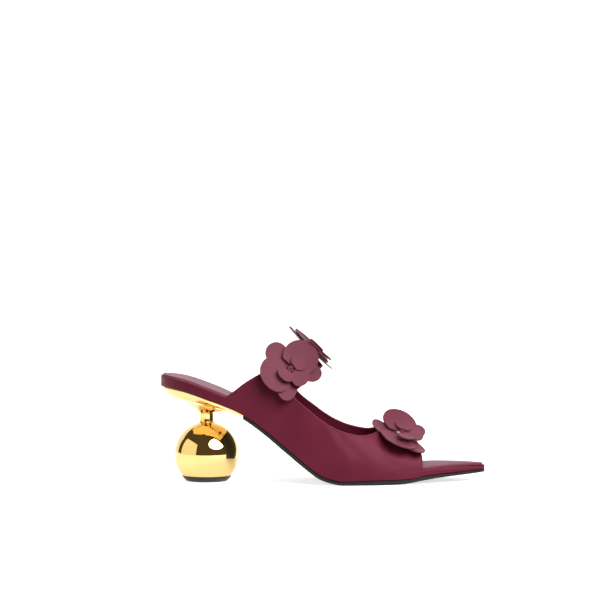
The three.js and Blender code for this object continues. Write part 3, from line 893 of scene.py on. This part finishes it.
def build_heel():
    edge = flange_edge(70)
    angles = [math.atan2(point.y, point.x) for point in edge]

    def circle(radius, z):
        return [Vector((radius * math.cos(a), radius * math.sin(a), z)) for a in angles]

    low = -math.acos(BALL_FLAT / BALL_RADIUS)
    high = math.acos((NECK_RADIUS + NECK_FLARE) / BALL_RADIUS)
    rings = []
    for tilt in spread(low, high, 60):
        rings.append(circle(BALL_RADIUS * math.cos(tilt), BALL_CENTRE + BALL_RADIUS * math.sin(tilt)))
    ball_top = BALL_CENTRE + BALL_RADIUS * math.sin(high)
    flare_rise = NECK_FOOT + NECK_FLARE - ball_top
    for share in spread(0, 1, 8)[1:]:
        flare = NECK_FLARE * (1 - share) ** 2
        rings.append(circle(NECK_RADIUS + flare, ball_top + flare_rise * share))
    rings.append(circle(NECK_RADIUS, NECK_TOP - 1))
    for share in spread(0, 1, 30):
        ring = []
        for point, angle in zip(edge, angles):
            start = Vector((NECK_RADIUS * math.cos(angle), NECK_RADIUS * math.sin(angle)))
            place = start.lerp(point, share)
            depth = seat_line(along_at(start.x)) - NECK_TOP
            ahead = (1 + math.cos(angle)) / 2
            fall = cup_back(share) * (1 - ahead) + cup_front(share) * ahead
            ring.append(Vector((*place, seat_line(along_at(place.x)) - depth * fall)))
        rings.append(ring)
    for share in (1, 0.9, 0.7, 0.5, 0.3, 0.1):
        rings.append([Vector((*(point * share), seat_line(along_at(point.x * share)))) for point in edge])
    mesh = make_mesh("ball_heel_gold", *loft(rings))
    add_piece("ball_heel_gold", mesh, gold, ["ball_heel"])


def build_tip():
    profile = [
        (TIP_RADIUS - TIP_CHAMFER, 0),
        (TIP_RADIUS - TIP_CHAMFER * 0.9, 0.12),
        (TIP_RADIUS - TIP_CHAMFER * 0.35, TIP_HEIGHT * 0.45),
        (TIP_RADIUS - 0.1, TIP_HEIGHT * 0.85),
        (TIP_RADIUS, TIP_HEIGHT * 0.95),
        (TIP_RADIUS - 0.2, TIP_HEIGHT),
    ]
    angles = spread(0, 2 * math.pi, 97)[:-1]
    rings = [[Vector((r * math.cos(a), r * math.sin(a), z)) for a in angles] for r, z in profile]
    mesh = make_mesh("heel_tip_rubber", *loft(rings))
    add_piece("heel_tip_rubber", mesh, rubber, ["heel_tip"])


# Flowers

def petal_grids(row, push):
    inner = BUD_RADIUS + GAP
    outer = row["reach"] * FLOWER_RADIUS
    level = row["layer"] * (PETAL + GAP)
    turn = math.radians(row["angle"])
    widest = row["widest"]

    def breadth(share):
        if share < widest:
            narrowing = (1 - row["root"] ** 2) * ((widest - share) / widest) ** 2
        else:
            narrowing = ((share - widest) / (1 - widest)) ** 2
        return row["half"] * FLOWER_RADIUS * math.sqrt(max(0, 1 - narrowing))

    grids = ([], [])
    for step in spread(0, 1, PETAL_ROWS):
        share = 0.998 * math.sin(step * math.pi / 2) ** 1.1
        out = inner + (outer - inner) * share
        for grid, raised in zip(grids, (PETAL, 0)):
            line = []
            for side in spread(-1, 1, PETAL_COLUMNS):
                beside = side * breadth(share)
                x = out * math.cos(turn) - beside * math.sin(turn)
                y = out * math.sin(turn) + beside * math.cos(turn)
                far = math.hypot(x, y) / FLOWER_RADIUS
                phase = PETAL_WAVE_COUNT * math.atan2(y, x) + PETAL_WAVE_START
                wave = PETAL_WAVE * math.sin(phase) * far ** 2
                line.append(Vector((x, y, level + (row["lift"] + push) * far ** 2 + wave + raised)))
            grid.append(line)
    return grids


def bud_grids():
    """A strip of leather rolled up, as two grids for its outer and inner face."""
    outer = []
    inner = []
    for share in spread(0, 1, BUD_ROWS):
        turn = 2 * math.pi * BUD_TURNS * share
        radius = BUD_CORE + (BUD_RADIUS - 0.8) * share
        tall = BUD_HEIGHT * (1 - 0.1 * share)
        for grid, reach in ((outer, radius), (inner, radius - BUD_STRIP)):
            column = []
            for level in (0, 0.35, 0.7, 0.92, 1):
                out = reach * (1 + BUD_FLARE * level)
                column.append(Vector((out * math.cos(turn), out * math.sin(turn), tall * level)))
            grid.append(column)
    return outer, inner


def build_flower(row):
    normal = last_normal(row["along"], row["around"])
    facing = (normal + Vector(row["lean"])).normalized()
    tipped = normal.cross(facing).length
    aim = Vector(row["right"])
    across = (aim - facing * aim.dot(facing)).normalized()
    up = facing.cross(across)
    turn = Matrix((across, up, facing)).transposed().to_4x4()
    seat = last_point(row["along"], row["around"]) + facing * (GAP + tipped * BUD_RADIUS)
    place = Matrix.Translation(seat) @ turn

    def put(name, node, points, faces):
        mesh = make_mesh(name, [place @ Vector(point) for point in points], faces)
        add_piece(name, mesh, petal_leather, [node])

    for petal in PETALS:
        node = row["name"] + "_" + petal["name"]
        put(node + "_leather", node, *sheet(*petal_grids(petal, row["push"])))
    put(row["name"] + "_bud_leather", row["name"] + "_bud", *sheet(*bud_grids()))


build_outsole()
build_footbed()
build_sock()
build_upper()
build_heel()
build_tip()
for flower in FLOWERS:
    build_flower(flower)


# Studio, in metres

STUDIO = 5.0
BACK_WALL = 3.0
LAMPS = [
    dict(name="umbrella", shape="ELLIPSE", place=(1.19, -1.26, 1.36), target=(0.03, 0, 0.04),
         size=(2.2, 1.5), power=44),
    dict(name="top", shape="RECTANGLE", place=(0.1, 0.5, 2.0), target=(0.08, 0, 0.04),
         size=(1.6, 1.2), power=18),
]


def plain_mesh(name, corners):
    mesh = bpy.data.meshes.new(name)
    mesh.from_pydata(corners, [], [tuple(range(len(corners)))])
    piece = bpy.data.objects.new(name, mesh)
    bpy.context.scene.collection.objects.link(piece)
    return piece


def glowing(name, colour, strength):
    material, _, _, bsdf = shader(name, colour, 0.8)
    bsdf.inputs["Emission Color"].default_value = (*colour, 1)
    bsdf.inputs["Emission Strength"].default_value = strength
    return material


def build_studio():
    """White floor and background, with a cream panel on the left and the dark room in front."""
    near = [(-STUDIO, -STUDIO, 0), (STUDIO, -STUDIO, 0)]
    floor = plain_mesh("floor", [*near, (STUDIO, BACK_WALL, 0), (-STUDIO, BACK_WALL, 0)])
    floor.data.materials.append(glowing("floor_white", (0.9, 0.9, 0.9), 0.75))
    floor.visible_diffuse = False
    low = [(-STUDIO, BACK_WALL, -0.01), (STUDIO, BACK_WALL, -0.01)]
    back = plain_mesh("background", [*low, (STUDIO, BACK_WALL, 3), (-STUDIO, BACK_WALL, 3)])
    back.data.materials.append(glowing("background_white", (1, 1, 1), 1.05))
    front = (-1.3, -1.7)
    rear = (-1.9, 0.4)
    tall = 1.5
    panel = plain_mesh("panel", [(*front, 0), (*rear, 0), (*rear, tall), (*front, tall)])
    panel.data.materials.append(glowing("panel_cream", (1, 0.93, 0.8), 0.62))


def area_light(row):
    light = bpy.data.lights.new(row["name"], "AREA")
    light.shape = row["shape"]
    light.size, light.size_y = row["size"]
    light.energy = row["power"]
    lamp = bpy.data.objects.new(row["name"], light)
    lamp.location = row["place"]
    aim = Vector(row["target"]) - Vector(row["place"])
    lamp.rotation_euler = aim.to_track_quat("-Z", "Y").to_euler()
    lamp.visible_camera = False
    bpy.context.scene.collection.objects.link(lamp)


def build_lights():
    world = bpy.data.worlds.new("studio")
    world.use_nodes = True
    dim_room = world.node_tree.nodes["Background"]
    dim_room.inputs["Color"].default_value = (0.62, 0.47, 0.32, 1)
    dim_room.inputs["Strength"].default_value = 0.16
    bpy.context.scene.world = world
    for row in LAMPS:
        area_light(row)


def build_camera():
    camera = bpy.data.cameras.new("camera")
    distance = 4.5
    frame_width = 0.4416
    target = Vector((0.0690, 0, 0.1338))
    height = 0.4655
    camera.sensor_width = 36
    camera.lens = camera.sensor_width * distance / frame_width
    camera.clip_end = 50
    eye = bpy.data.objects.new("camera", camera)
    eye.location = (target.x, -distance, height)
    eye.rotation_euler = (target - eye.location).to_track_quat("-Z", "Y").to_euler()
    bpy.context.scene.collection.objects.link(eye)
    bpy.context.scene.camera = eye


build_studio()
build_lights()
build_camera()

bpy.context.scene.view_settings.view_transform = "Standard"
